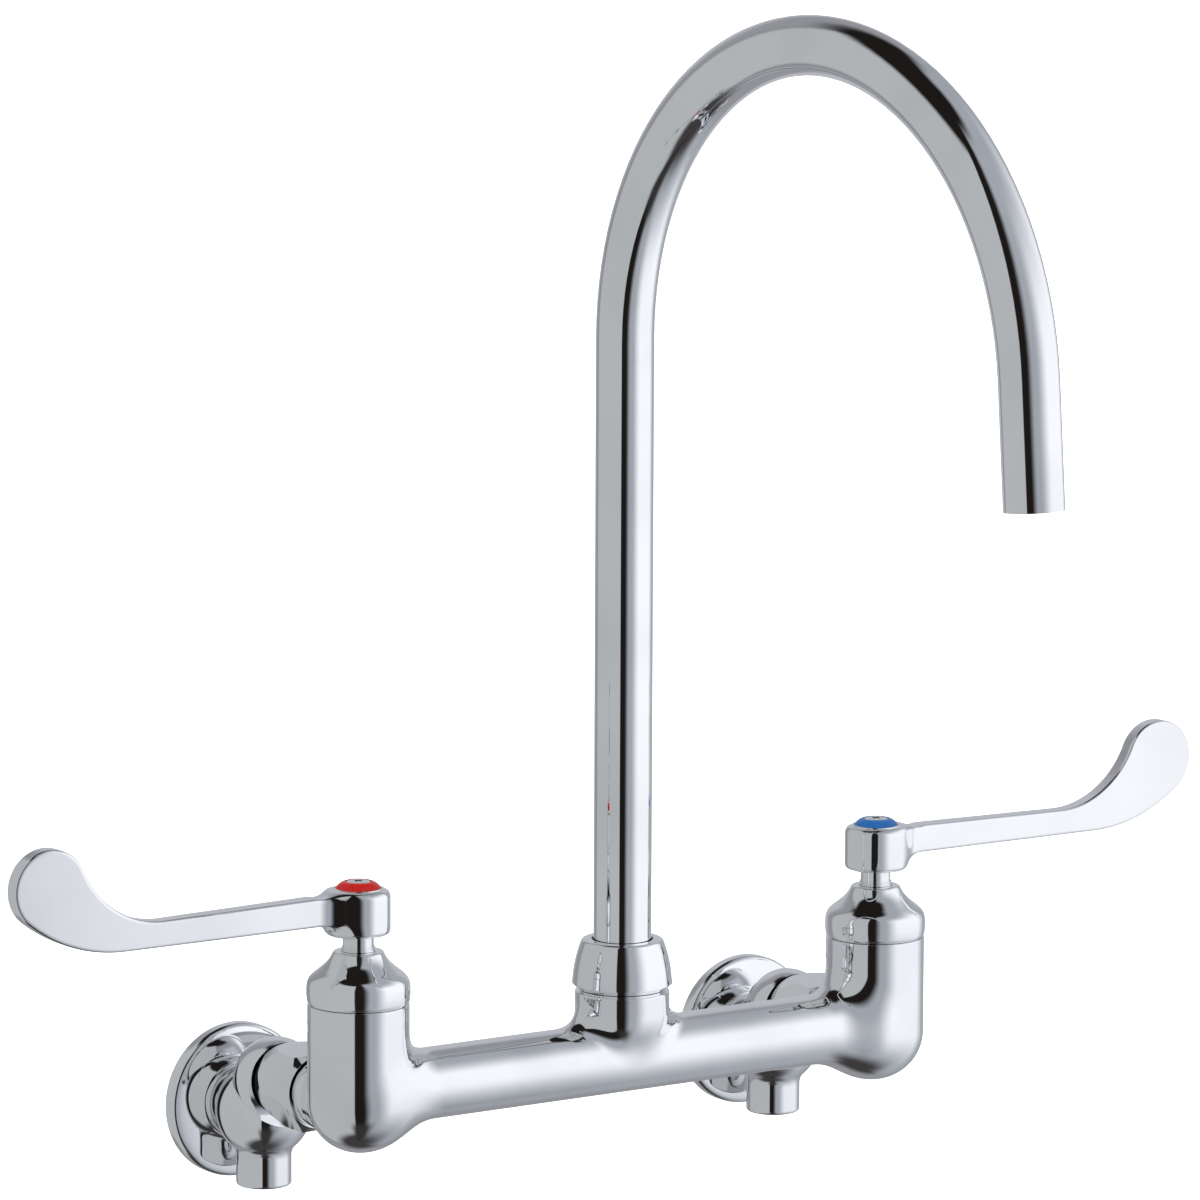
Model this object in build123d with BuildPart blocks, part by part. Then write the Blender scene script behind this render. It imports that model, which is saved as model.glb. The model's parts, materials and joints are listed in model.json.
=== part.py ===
from build123d import *
from math import acos, cos, degrees, radians, sin, sqrt
import os

# A wall-mount bridge faucet with a gooseneck spout and two wrist-blade handles.
# Z is up and X runs along the bridge towards the cold side. The wall is the plane Y = 0, and the
# faucet stands in front of it, at negative Y. The origin is on the wall, midway between the two
# supplies. Lengths are in millimetres and angles in degrees.

# Layout
supply_centres = 203.2  # between the two supplies in the wall
valve_out = 79.0  # wall to the axes of the valves and of the spout
union_rise = 12.7  # supply axis up to the union axis
bridge_rise = 4.0  # union axis up to the bridge's axis
joint_rise = 29.3  # bridge's axis up to the face under a bonnet
hub_rise = 22.3  # bridge's axis up to the top of the spout hub

# Clearances
thread_gap = 0.05  # radial, in a screwed joint
run_gap = 0.1  # radial, in a turning or sliding fit
seal_gap = 0.02  # radial, between a rubber ring and metal
free_gap = 0.3  # between faces that must not rub

# Waterways and walls of the body casting
waterway_r = 6.5
bridge_wall = 5.2
barrel_wall = 4.6
hub_wall = 1.6  # outside the spout nut's thread
inlet_r = 4.5
chamber_r = 8.0
chamber_depth = 14.0  # below the lip of a cartridge's seat
chamber_wall = 2.0  # between a valve's lower chamber and the bridge's waterway
seat_r = 6.0
seat_lip = 3.0
throat_r = 8.0  # from the bridge's waterway up to the spout
barrel_blend = 5.5
barrel_round_rise = 0.8  # union axis up to the centre of a barrel's rounded end
hub_blend = 7.0
hub_sink = 5.5  # the hub's rounded underside is centred this far above the bridge's axis
rim_round = 0.5

# Cartridge
disc_r = 8.6
stem_r = 3.35
stem_body_r = 5.0
neck_wall = 1.35
skirt_wall = 1.3
flow_gap = 1.5  # water passes between the skirt and the barrel
spigot_wall = 2.8
seat_depth = 26.0  # face under the bonnet down to the seat
seat_seal_t = 2.5
fixed_disc_t = 3.5
turning_disc_t = 3.5
driver_t = 2.5
driver_w = 5.0
tongue_w = 3.0
tongue_h = 1.5
port_inner_r = 2.2
port_outer_r = 5.8
port_angle = 76.0  # width of each of the two openings in a disc
key_w = 3.0  # lugs that stop the fixed disc from turning
key_depth = 1.0
window_h = 10.0
window_w = 9.0
spigot_rise = 6.0  # bonnet's thread above its joint face
housing_depth = 2.0  # how far its full width reaches below the joint face
flange_t = 2.5
throat_h = 2.4  # flange's top up to the thrust washer
thrust_t = 0.8
neck_roof = 1.3
skirt_roof = 1.3  # from the housing's full width down to the skirt's bore
drive_flats = 5.4  # across the flats of the stem's top

# Rubber rings of round section
seal_section = 1.46
groove_w = 1.9
seal_inset = 3.5  # end of a sealed length to the first ring
seal_pitch = 4.5  # between two rings

# Bonnet, a bell over the cartridge
bonnet_h = 15.8
bonnet_swell = 0.3  # belly beyond the barrel's radius
bonnet_belly_h = 4.0
bonnet_shoulder_r = 13.7
bonnet_shoulder_h = 9.3
bonnet_collar_r = 8.3
bonnet_collar_h = 14.7
bonnet_rim_r = 7.5
bonnet_foot_round = 1.2
neck_ring_r = 5.4
neck_ring_h = 0.95

# Handle
handle_gap = 7.1  # bonnet's top up to the handle's hub
hub_r = 10.4
hub_h = 15.0
hub_flat = 1.1  # depth of the flat behind the blade's arm
hub_round = 1.6  # of the hub's lower edge
hub_rim_round = 0.7
neck_cover = 1.2  # how far the hub reaches down round the neck
recess_r = 7.5
recess_depth = 2.5
web_t = 1.2
blade_forward = 1.0  # angle of each blade forward of the bridge's line, seen from above
arm_drop = 1.2  # hub's top down to the arm's top
arm_h = 9.5
arm_root_t = 7.2
arm_tip_t = 5.6
arm_slope = 0.1  # rise of the arm's underside along its length
arm_taper = 1.0  # loss of the arm's height along its length
arm_top_blend = 16.0
arm_flare = 2.0  # how far its root widens outside the hub
paddle_reach = 115.3  # valve's axis to the paddle's centre
paddle_r = 13.0
paddle_rise = 22.5  # arm's underside up to the paddle's centre
lower_bend = 56.0
upper_bend = 32.0
blade_round = 0.9

# Index ring and handle screw
ring_rise = 2.0  # its dome above the hub
ring_bore_r = 4.1
screw_head_rise = 2.1
screw_r = 2.0
screw_length = 9.0
drive_w = 1.0
drive_l = 5.0
drive_depth = 1.6

# Spout
tube_r = 9.525
tube_wall = 1.0
braze_gap = 0.02
bend_r = 102.3
bend_rise = 215.4  # top of the hub up to the start of the bend
bend_sweep = 175.3
drop_length = 39.8
spout_turn = 3.2  # towards the cold side, as it stands
tube_foot_depth = 12.0  # top of the hub down to the tube's end
sleeve_wall = 2.075
collar_t = 2.5
collar_w = 1.3
bearing_t = 1.0
seat_rise = 10.0  # top of the hub up to the lower bearing
spigot_ring_w = 2.3

# Spout nut, a bell over the hub
nut_gap = 0.5
nut_h = 16.7
nut_foot_r = 14.3
nut_belly_r = 16.5
nut_belly_h = 2.0
nut_waist_r = 15.5
nut_waist_h = 9.6
nut_rim_r = 13.3
nut_round = 1.2
nut_hole_gap = 0.6

# Union between the body and an inlet arm
boss_thread_r = 10.5
boss_thread_l = 7.0
boss_collar_w = 1.3
boss_collar_l = 4.5
boss_out = 50.0  # wall to the end of the body's inlet boss
union_washer_t = 2.0
washer_hole_r = 6.0
tail_flange_t = 5.5
tail_flange_w = 2.1
tail_r = 8.0
nut_flats = 25.4
nut_turn = 7.0  # of its corners, as it was tightened
nut_back_l = 8.5
nut_back_r = 12.0
nut_taper_l = 9.3
nut_front_r = 12.2
nut_chamfer_l = 2.3
nut_grip = 6.0  # how far the union nut reaches over the boss

# Inlet arm
arm_out = 19.8  # wall to the stop's axis
ball_r = 16.0
rear_boss_r = 12.2
elbow_out = 28.0
elbow_drop = 1.5  # union axis down to the elbow's centre
elbow_r = 14.3
face_gap = 1.0  # elbow's flat face to the back of the union nut
nut_swing = 1.0  # round the union nut's corners
stub_r = 9.15
stub_drop = 25.3
stub_blend = 4.5
stub_round = 1.2
supply_bore_r = 9.3
supply_bore_l = 11.0
passage_r = 5.0

# Stop valve in the inlet arm
stop_bore_r = 6.6
stop_flats = 11.2
stop_seat_rise = 2.5  # above the supply axis
stop_seat_r = 4.2
plug_travel = 6.0
plug_h = 10.0
plug_washer_t = 1.5
plug_washer_r = 5.4
spindle_r = 3.2
spindle_thread_r = 2.45
spindle_thread_l = 9.5
spindle_collar_r = 5.0
spindle_collar_t = 1.5
spindle_slot_w = 1.2
spindle_slot_depth = 1.4
gland_r = 7.35
gland_h = 7.3
gland_sink = 0.5
spindle_sink = 0.5

# Wall flange, a pressed sheet
flange_r = 25.7
flange_sheet = 1.2
flange_side = 3.6
flange_dome = 7.2
flange_crown_r = 14.4

# Worked out from the sizes above
half_centres = supply_centres / 2
valve_y = -valve_out
bridge_z = union_rise + bridge_rise
joint_z = bridge_z + joint_rise
hub_top = bridge_z + hub_rise
bridge_r = waterway_r + bridge_wall
barrel_round_z = union_rise + barrel_round_rise
neck_bore = stem_r + thread_gap
neck_r = neck_bore + neck_wall
housing_bore = stem_body_r + run_gap
skirt_bore = disc_r + run_gap
skirt_r = skirt_bore + skirt_wall
barrel_bore = skirt_r + flow_gap + run_gap
barrel_r = barrel_bore + barrel_wall
housing_r = barrel_bore - run_gap
spigot_r = barrel_bore + spigot_wall
housing_flange_r = spigot_r - run_gap
seat_z = joint_z - seat_depth
fixed_disc_z = seat_z + seat_seal_t
turning_disc_z = fixed_disc_z + fixed_disc_t
driver_z = turning_disc_z + turning_disc_t
driver_top = driver_z + driver_t
driver_r = disc_r - run_gap
spigot_top = joint_z + spigot_rise
housing_flange_top = spigot_top + flange_t
thrust_z = housing_flange_top + throat_h
thrust_top = thrust_z + thrust_t
head_top = thrust_top + neck_roof
housing_low = joint_z - housing_depth
bore_low = housing_low - skirt_roof
head_r = housing_bore + neck_wall + run_gap
bonnet_top = joint_z + bonnet_h
bonnet_hole = neck_ring_r + run_gap
handle_low = bonnet_top + handle_gap
handle_top = handle_low + hub_h
neck_top = handle_low + neck_cover
web_top = handle_top - recess_depth
web_low = web_top - web_t
stem_top = web_low - free_gap
sleeve_r = tube_r + sleeve_wall
hub_bore = sleeve_r + run_gap
nut_thread_r = hub_bore + spigot_ring_w
hub_outer_r = nut_thread_r + hub_wall
collar_r = sleeve_r + collar_w
lower_bearing_z = hub_top + seat_rise - bearing_t
collar_z = hub_top + seat_rise
collar_top = collar_z + collar_t
nut_shoulder_z = collar_top + bearing_t
tube_foot = hub_top - tube_foot_depth
hub_floor = tube_foot - 2 * free_gap
hub_round_z = bridge_z + hub_sink
bend_z = hub_top + bend_rise
boss_collar_r = boss_thread_r + boss_collar_w
washer_out = boss_out - union_washer_t
tail_flange_r = tail_r + tail_flange_w
nut_step_out = washer_out - tail_flange_t
nut_back_out = nut_step_out - nut_back_l
nut_front_out = boss_out + nut_grip
face_out = nut_back_out - face_gap
stub_low = -stub_drop
plug_top = stop_seat_rise - plug_travel
plug_low = plug_top - plug_h
gland_low = stub_low + gland_sink
gland_top = gland_low + gland_h
collar_low = gland_top + free_gap
spindle_collar_top = collar_low + spindle_collar_t
spindle_top = spindle_collar_top + spindle_thread_l
gland_bore = gland_r + thread_gap
elbow_z = union_rise - elbow_drop
stem_seal_zs = (thrust_z - seal_inset - seal_pitch, thrust_z - seal_inset)
spout_seal_zs = (hub_top - seal_inset - seal_pitch, hub_top - seal_inset)

bridge_line = Plane(origin=(0, valve_y, bridge_z), x_dir=(0, 1, 0), z_dir=(1, 0, 0))


# The level plane through a vertical axis: distances along it are heights.
def level(x, y):
    return Plane(origin=(x, y, 0))


# The plane of a turned outline about a vertical axis: radius, then height.
def upright(x, y):
    return Plane(origin=(x, y, 0), x_dir=(1, 0, 0), z_dir=(0, -1, 0))


# The plane of the wall at a height: distances along it are out from the wall.
def out_from_wall(x, z):
    return Plane(origin=(x, 0, z), x_dir=(1, 0, 0), z_dir=(0, -1, 0))


# The plane of a turned outline about an axis that stands out from the wall: radius, then distance.
def beside(x, z):
    return Plane(origin=(x, 0, z), x_dir=(0, 0, 1), z_dir=(1, 0, 0))


# A round bar, or a tube if it has a bore, from one distance to another along a plane's normal.
def bar(plane, start, end, radius, bore=0.0, mode=Mode.ADD):
    with BuildSketch(plane.offset(start)) as ring:
        Circle(radius)
        if bore:
            Circle(bore, mode=Mode.SUBTRACT)
    extrude(ring.sketch, amount=end - start, mode=mode)


# A round hole, from one distance to another along a plane's normal.
def drill(plane, start, end, radius):
    bar(plane, start, end, radius, mode=Mode.SUBTRACT)


# The middle radius of a rubber ring that seals a bore from inside.
def ring_radius(bore):
    return bore - seal_gap - seal_section / 2


# The groove for such a ring.
def groove(plane, height, bore):
    bottom = bore - 2 * seal_gap - seal_section
    bar(plane, height - groove_w / 2, height + groove_w / 2, bore, bottom, Mode.SUBTRACT)


# The rubber ring itself.
def rubber_ring(plane, height, bore):
    with Locations(plane.offset(height)):
        Torus(ring_radius(bore), seal_section / 2)


# Two opposite sectors, which are the openings of a ceramic disc.
def ports(plane, start, end, facing):
    with BuildSketch(plane.offset(start)) as openings:
        with PolarLocations(0, 2, start_angle=facing):
            with BuildLine():
                outer = CenterArc((0, 0), port_outer_r, -port_angle / 2, port_angle)
                inner = CenterArc((0, 0), port_inner_r, -port_angle / 2, port_angle)
                Line(inner @ 0, outer @ 0)
                Line(inner @ 1, outer @ 1)
            make_face()
    extrude(openings.sketch, amount=end - start, mode=Mode.SUBTRACT)


# A bar with two flats, which drives or guides what it passes through.
def flatted_bar(plane, start, end, radius, flats, mode=Mode.ADD):
    with BuildSketch(plane.offset(start)) as section:
        Circle(radius)
        Rectangle(flats, 2 * radius, mode=Mode.INTERSECT)
    extrude(section.sketch, amount=end - start, mode=mode)


# The body: two valve barrels and a spout hub on one bridge, with a boss behind each barrel.
def make_body_casting():
    with BuildPart() as body_casting:
        bar(bridge_line, -half_centres, half_centres, bridge_r)
        for x in (-half_centres, half_centres):
            with BuildSketch(upright(x, valve_y)):
                with BuildLine():
                    Line((0, barrel_round_z - barrel_r), (0, joint_z))
                    Line((0, joint_z), (barrel_r, joint_z))
                    Line((barrel_r, joint_z), (barrel_r, barrel_round_z))
                    CenterArc((0, barrel_round_z), barrel_r, 0, -90)
                make_face()
            revolve(axis=Axis((x, valve_y, 0), (0, 0, 1)))
            fillet(body_casting.edges(Select.NEW), barrel_blend)
        with BuildSketch(upright(0, valve_y)):
            with BuildLine():
                Line((0, hub_round_z - hub_outer_r), (0, hub_top))
                Line((0, hub_top), (hub_outer_r - rim_round, hub_top))
                CenterArc((hub_outer_r - rim_round, hub_top - rim_round), rim_round, 90, -90)
                Line((hub_outer_r, hub_top - rim_round), (hub_outer_r, hub_round_z))
                CenterArc((0, hub_round_z), hub_outer_r, 0, -90)
            make_face()
        revolve(axis=Axis((0, valve_y, 0), (0, 0, 1)))
        fillet(body_casting.edges(Select.NEW), hub_blend)
        for x in (-half_centres, half_centres):
            inlet = out_from_wall(x, union_rise)
            valve = level(x, valve_y)
            bar(inlet, boss_out, valve_out, boss_thread_r)
            bar(inlet, boss_out + boss_thread_l, boss_out + boss_thread_l + boss_collar_l, boss_collar_r)
            bar(valve, joint_z, spigot_top, spigot_r)
            drill(valve, seat_z - seat_lip - chamber_depth, seat_z - seat_lip, chamber_r)
            drill(valve, seat_z - seat_lip, seat_z, seat_r)
            drill(valve, seat_z, spigot_top, barrel_bore)
            drill(inlet, boss_out, valve_out - sqrt(chamber_r**2 - inlet_r**2), inlet_r)
        bar(level(0, valve_y), hub_top, lower_bearing_z, nut_thread_r)
        reach = half_centres - chamber_r - chamber_wall
        drill(bridge_line, -reach, reach, waterway_r)
        drill(level(0, valve_y), bridge_z, hub_floor, throat_r)
        drill(level(0, valve_y), hub_floor, lower_bearing_z, hub_bore)
    return body_casting


# Lid of one valve: a bell that screws on to the barrel and clamps the cartridge.
def make_bonnet(x):
    valve = level(x, valve_y)
    with BuildPart() as bonnet:
        with BuildSketch(upright(x, valve_y)) as outline:
            with BuildLine():
                Line((0, joint_z), (barrel_r, joint_z))
                belly = Line((barrel_r, joint_z), (barrel_r + bonnet_swell, joint_z + bonnet_belly_h))
                shoulder = (bonnet_shoulder_r, joint_z + bonnet_shoulder_h)
                collar = (bonnet_collar_r, joint_z + bonnet_collar_h)
                swell = TangentArc(belly @ 1, shoulder, tangent=belly % 1)
                TangentArc(swell @ 1, collar, tangent=swell % 1)
                Line(collar, (bonnet_rim_r, bonnet_top))
                Line((bonnet_rim_r, bonnet_top), (0, bonnet_top))
                Line((0, bonnet_top), (0, joint_z))
            make_face()
            foot = outline.vertices().group_by(Axis.Y)[0].sort_by(Axis.X)[-1]
            rim = outline.vertices().group_by(Axis.Y)[-1].sort_by(Axis.X)[-1]
            fillet(foot, bonnet_foot_round)
            fillet(rim, rim_round)
        revolve(axis=Axis((x, valve_y, 0), (0, 0, 1)))
        drill(valve, joint_z, housing_flange_top, spigot_r + thread_gap)
        drill(valve, housing_flange_top, head_top + run_gap, head_r + run_gap)
        drill(valve, head_top, bonnet_top, bonnet_hole)
    return bonnet


# Housing of one cartridge. Its skirt holds the discs, and its neck shows above the bonnet.
def make_cartridge_housing(x):
    valve = level(x, valve_y)
    with BuildPart() as cartridge_housing:
        bar(valve, seat_z + free_gap, spigot_top, skirt_r)
        bar(valve, housing_low, spigot_top, housing_r)
        bar(valve, spigot_top, housing_flange_top, housing_flange_r)
        bar(valve, housing_flange_top, head_top, head_r)
        bar(valve, head_top, bonnet_top + neck_ring_h, neck_ring_r)
        bar(valve, head_top, bonnet_top + 2 * neck_ring_h, (neck_ring_r + neck_r) / 2)
        bar(valve, head_top, neck_top, neck_r)
        drill(valve, seat_z, bore_low, skirt_bore)
        drill(valve, seat_z, thrust_top, housing_bore)
        drill(valve, thrust_top, neck_top, neck_bore)
        groove(valve, (housing_low + spigot_top) / 2, barrel_bore)
        with BuildSketch(valve.offset(seat_z)):
            Rectangle(key_w, 2 * (skirt_bore + key_depth))
        extrude(amount=turning_disc_z - seat_z, mode=Mode.SUBTRACT)
        with BuildSketch(valve.offset(driver_z)):
            Rectangle(2 * skirt_r, window_w)
        extrude(amount=window_h, mode=Mode.SUBTRACT)
    return cartridge_housing


# Rubber ring between a cartridge and its barrel.
def make_body_seal(x):
    with BuildPart() as body_seal:
        rubber_ring(level(x, valve_y), (housing_low + spigot_top) / 2, barrel_bore)
    return body_seal


# Rubber seat under the fixed disc.
def make_seat_seal(x):
    with BuildPart() as seat_seal:
        bar(level(x, valve_y), seat_z, fixed_disc_z, disc_r, seat_r)
    return seat_seal


# Lower ceramic disc, keyed to the housing, with its openings towards front and back.
def make_fixed_disc(x):
    valve = level(x, valve_y)
    with BuildPart() as fixed_disc:
        bar(valve, fixed_disc_z, turning_disc_z, disc_r)
        with BuildSketch(valve.offset(fixed_disc_z)):
            Rectangle(key_w - 2 * run_gap, 2 * (skirt_bore + key_depth - run_gap))
        extrude(amount=fixed_disc_t)
        ports(valve, fixed_disc_z, turning_disc_z, 90)
    return fixed_disc


# Upper ceramic disc. Its openings lie across those below until the handle is turned.
def make_turning_disc(x):
    valve = level(x, valve_y)
    with BuildPart() as turning_disc:
        bar(valve, turning_disc_z, driver_z, disc_r)
        ports(valve, turning_disc_z, driver_z, 0)
        with BuildSketch(valve.offset(driver_z - tongue_h)):
            Rectangle(tongue_w + 2 * run_gap, 2 * disc_r)
        extrude(amount=tongue_h, mode=Mode.SUBTRACT)
    return turning_disc


# Stem that turns the upper disc. Its flatted top carries the handle.
def make_stem(x):
    valve = level(x, valve_y)
    with BuildPart() as stem:
        flatted_bar(valve, driver_z, driver_top, driver_r, driver_w)
        flatted_bar(valve, driver_z - tongue_h, driver_z, driver_r, tongue_w)
        bar(valve, driver_top, thrust_z, stem_body_r)
        bar(valve, thrust_z, neck_top, stem_r)
        flatted_bar(valve, neck_top, stem_top, stem_r, drive_flats)
        for seal_z in stem_seal_zs:
            groove(valve, seal_z, housing_bore)
        drill(valve, web_top - screw_length - free_gap, stem_top, screw_r + thread_gap)
    return stem


# One rubber ring on a stem.
def make_stem_seal(x, seal_z):
    with BuildPart() as stem_seal:
        rubber_ring(level(x, valve_y), seal_z, housing_bore)
    return stem_seal


# Slip washer that holds a stem down under its housing's neck.
def make_thrust_washer(x):
    with BuildPart() as thrust_washer:
        bar(level(x, valve_y), thrust_z, thrust_top, stem_body_r, stem_r + run_gap)
    return thrust_washer


# Wrist-blade handle: hub, arm and round paddle, cast in one piece. The side outline is crossed
# with the plan outline, so the arm flares into the hub both ways.
def make_handle(x, angle):
    valve = level(x, valve_y)
    along = (cos(radians(angle)), sin(radians(angle)), 0)
    across = (along[1], -along[0], 0)
    arm_low = handle_top - arm_drop - arm_h
    blade_low = arm_low + arm_slope
    blade_top = blade_low + arm_h - arm_taper
    arm_top = handle_top - arm_drop
    centre = Vector(paddle_reach, blade_low + paddle_rise)

    lower_z = blade_low + lower_bend
    lower_s = centre.X - sqrt((lower_bend - paddle_r) ** 2 - (lower_z - centre.Y) ** 2)
    lower_centre = Vector(lower_s, lower_z)
    lower_touch = centre + (centre - lower_centre).normalized() * paddle_r
    upper_z = blade_top + upper_bend
    upper_s = centre.X - sqrt((upper_bend + paddle_r) ** 2 - (upper_z - centre.Y) ** 2)
    upper_centre = Vector(upper_s, upper_z)
    upper_touch = centre + (upper_centre - centre).normalized() * paddle_r
    paddle_tip = centre + Vector(paddle_r, 0)
    paddle_crown = centre + Vector(0, paddle_r)
    crest_s = recess_r + web_t
    crest_end = crest_s + sqrt(arm_top_blend**2 - (arm_top_blend - arm_drop) ** 2)
    root_half = hub_r / sqrt(2) - blade_round

    upright_plane = Plane(origin=(x, valve_y, 0), x_dir=along, z_dir=across)
    level_plane = Plane(origin=(x, valve_y, handle_low), x_dir=along, z_dir=(0, 0, 1))
    with BuildPart() as handle:
        with BuildSketch(upright_plane):
            with BuildLine():
                Line((0, arm_low), (lower_s, blade_low))
                RadiusArc((lower_s, blade_low), lower_touch, -lower_bend)
                ThreePointArc(lower_touch, paddle_tip, paddle_crown)
                RadiusArc(paddle_crown, upper_touch, -paddle_r)
                RadiusArc(upper_touch, (upper_s, blade_top), upper_bend)
                Polyline((upper_s, blade_top), (0, arm_top), (0, arm_low))
            make_face()
        extrude(amount=hub_r, both=True)
        with BuildSketch(level_plane):
            with BuildLine():
                tip = Line((paddle_tip.X, 0), (paddle_tip.X, arm_tip_t / 2))
                side = Line(tip @ 1, (hub_r + arm_flare, arm_root_t / 2))
                flare = TangentArc(side @ 1, (root_half, root_half), tangent=side % 1)
                Polyline(flare @ 1, (0, root_half), (0, 0))
                mirror(about=Plane.XZ)
            make_face()
        extrude(amount=paddle_crown.Y - handle_low, mode=Mode.INTERSECT)
        # the short upright edges at the hub stay sharp
        outer = handle.edges().filter_by(lambda e: level_plane.to_local_coords(e @ 0.5).X > hub_r / sqrt(2))
        fillet(outer.filter_by(lambda e: e.geom_type != GeomType.LINE or e.length > 2 * arm_h), blade_round)
        with BuildSketch(upright(x, valve_y)) as hub_outline:
            with Locations((hub_r / 2, handle_low + hub_h / 2)):
                Rectangle(hub_r, hub_h)
            foot, rim = hub_outline.vertices().group_by(Axis.X)[-1].sort_by(Axis.Y)
            fillet(foot, hub_round)
            fillet(rim, hub_rim_round)
        revolve(axis=Axis((x, valve_y, 0), (0, 0, 1)))
        with BuildSketch(upright_plane):
            with BuildLine():
                crest = RadiusArc((crest_end, arm_top), (crest_s, handle_top), arm_top_blend)
                Polyline(crest @ 1, (crest_end, handle_top), crest @ 0)
            make_face()
            with Locations((-hub_r, handle_low + hub_h / 2)):
                Rectangle(2 * hub_flat, hub_h)
        extrude(amount=hub_r, both=True, mode=Mode.SUBTRACT)
        drill(valve, web_top, handle_top, recess_r)
        drill(valve, web_low, web_top, screw_r + run_gap)
        drill(valve, handle_low, neck_top + free_gap, neck_r + free_gap)
        flatted_bar(
            valve, neck_top, web_low, stem_r + thread_gap, drive_flats + 2 * thread_gap, Mode.SUBTRACT
        )
    return handle


# Coloured ring in the handle's recess, domed as if cut from a ball.
def make_index_ring(x):
    with BuildPart() as index_ring:
        rim_r = recess_r - run_gap
        with BuildSketch(upright(x, valve_y)):
            with BuildLine():
                Line((ring_bore_r, web_top), (rim_r, web_top))
                Line((rim_r, web_top), (rim_r, handle_top))
                dome_low = (rim_r**2 - ring_bore_r**2 - ring_rise**2) / (2 * ring_rise)
                dome_r = sqrt(rim_r**2 + dome_low**2)
                RadiusArc((rim_r, handle_top), (ring_bore_r, handle_top + ring_rise), -dome_r)
                Line((ring_bore_r, handle_top + ring_rise), (ring_bore_r, web_top))
            make_face()
        revolve(axis=Axis((x, valve_y, 0), (0, 0, 1)))
    return index_ring


# Screw that holds the handle and the index ring on the stem.
def make_handle_screw(x):
    valve = level(x, valve_y)
    head_r = ring_bore_r - run_gap
    head_end = handle_top + screw_head_rise
    with BuildPart() as handle_screw:
        bar(valve, web_top, head_end, head_r)
        fillet(handle_screw.edges().sort_by(Axis.Z)[-1], rim_round)
        bar(valve, web_top - screw_length, web_top, screw_r)
        with BuildSketch(valve.offset(head_end - drive_depth)):
            Rectangle(drive_l, drive_w)
            Rectangle(drive_w, drive_l)
        extrude(amount=drive_depth, mode=Mode.SUBTRACT)
    return handle_screw


# Gooseneck: one thin tube, bent in its own upright plane.
def make_spout_tube():
    forward = (sin(radians(spout_turn)), -cos(radians(spout_turn)), 0)
    sideways = (forward[1], -forward[0], 0)
    with BuildPart() as spout_tube:
        with BuildLine(Plane(origin=(0, valve_y, 0), x_dir=forward, z_dir=sideways)) as route:
            Line((0, tube_foot), (0, bend_z))
            bend = CenterArc((bend_r, bend_z), bend_r, 180, -bend_sweep)
            Line(bend @ 1, bend @ 1 + (bend % 1) * drop_length)
        with BuildSketch(level(0, valve_y).offset(tube_foot)):
            Circle(tube_r)
            Circle(tube_r - tube_wall, mode=Mode.SUBTRACT)
        sweep(path=route.line)
    return spout_tube


# Brass sleeve on the foot of the tube, with a collar that keeps the spout in its hub.
def make_spout_sleeve():
    axis = level(0, valve_y)
    with BuildPart() as spout_sleeve:
        bar(axis, tube_foot, collar_top, sleeve_r, tube_r + braze_gap)
        bar(axis, collar_z, collar_top, collar_r, tube_r + braze_gap)
        for seal_z in spout_seal_zs:
            groove(axis, seal_z, hub_bore)
    return spout_sleeve


# One rubber ring on the sleeve.
def make_spout_seal(seal_z):
    with BuildPart() as spout_seal:
        rubber_ring(level(0, valve_y), seal_z, hub_bore)
    return spout_seal


# Slip ring under the sleeve's collar.
def make_lower_bearing():
    with BuildPart() as lower_bearing:
        bar(level(0, valve_y), lower_bearing_z, collar_z, collar_r, hub_bore)
    return lower_bearing


# Slip ring between the collar and the nut.
def make_upper_bearing():
    with BuildPart() as upper_bearing:
        bar(level(0, valve_y), collar_top, nut_shoulder_z, collar_r, tube_r + free_gap)
    return upper_bearing


# Nut that holds the spout down: a bell like the bonnets, screwed on to the hub.
def make_spout_nut():
    axis = level(0, valve_y)
    nut_low = hub_top + nut_gap
    nut_top = nut_low + nut_h
    with BuildPart() as spout_nut:
        with BuildSketch(upright(0, valve_y)) as outline:
            with BuildLine():
                belly = (nut_belly_r, nut_low + nut_belly_h)
                waist = (nut_waist_r, nut_low + nut_waist_h)
                rim = (nut_rim_r, nut_top)
                Polyline((0, nut_top), (0, nut_low), (nut_foot_r, nut_low), belly)
                ThreePointArc(belly, waist, rim)
                Line(rim, (0, nut_top))
            make_face()
            fillet(outline.vertices().sort_by_distance(rim)[0], nut_round)
        revolve(axis=Axis((0, valve_y, 0), (0, 0, 1)))
        drill(axis, nut_low, lower_bearing_z, nut_thread_r + thread_gap)
        drill(axis, nut_low, nut_shoulder_z, collar_r + free_gap)
        drill(axis, nut_low, nut_top, tube_r + nut_hole_gap)
    return spout_nut


# Hexagonal union nut. It turns on the inlet arm's neck and pulls the arm to the body.
def make_union_nut(x):
    union = out_from_wall(x, union_rise)
    corner = nut_flats / sqrt(3)
    flat = nut_flats / 2
    with BuildPart() as union_nut:
        with BuildSketch(union.offset(nut_back_out)):
            RegularPolygon(flat, 6, major_radius=False, rotation=nut_turn)
        extrude(amount=nut_front_out - nut_back_out)
        with BuildSketch(beside(x, union_rise)):
            with BuildLine():
                Polyline(
                    (0, nut_back_out),
                    (nut_back_r, nut_back_out),
                    (corner, nut_back_out + nut_taper_l),
                    (corner, nut_front_out - nut_chamfer_l),
                    (nut_front_r, nut_front_out),
                    (0, nut_front_out),
                    close=True,
                )
            make_face()
        revolve(axis=Axis((x, 0, union_rise), (0, -1, 0)), mode=Mode.INTERSECT)
        drill(union, nut_back_out, nut_step_out, tail_r + 2 * run_gap)
        drill(union, nut_step_out, nut_front_out, boss_thread_r + thread_gap)
    return union_nut


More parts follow.
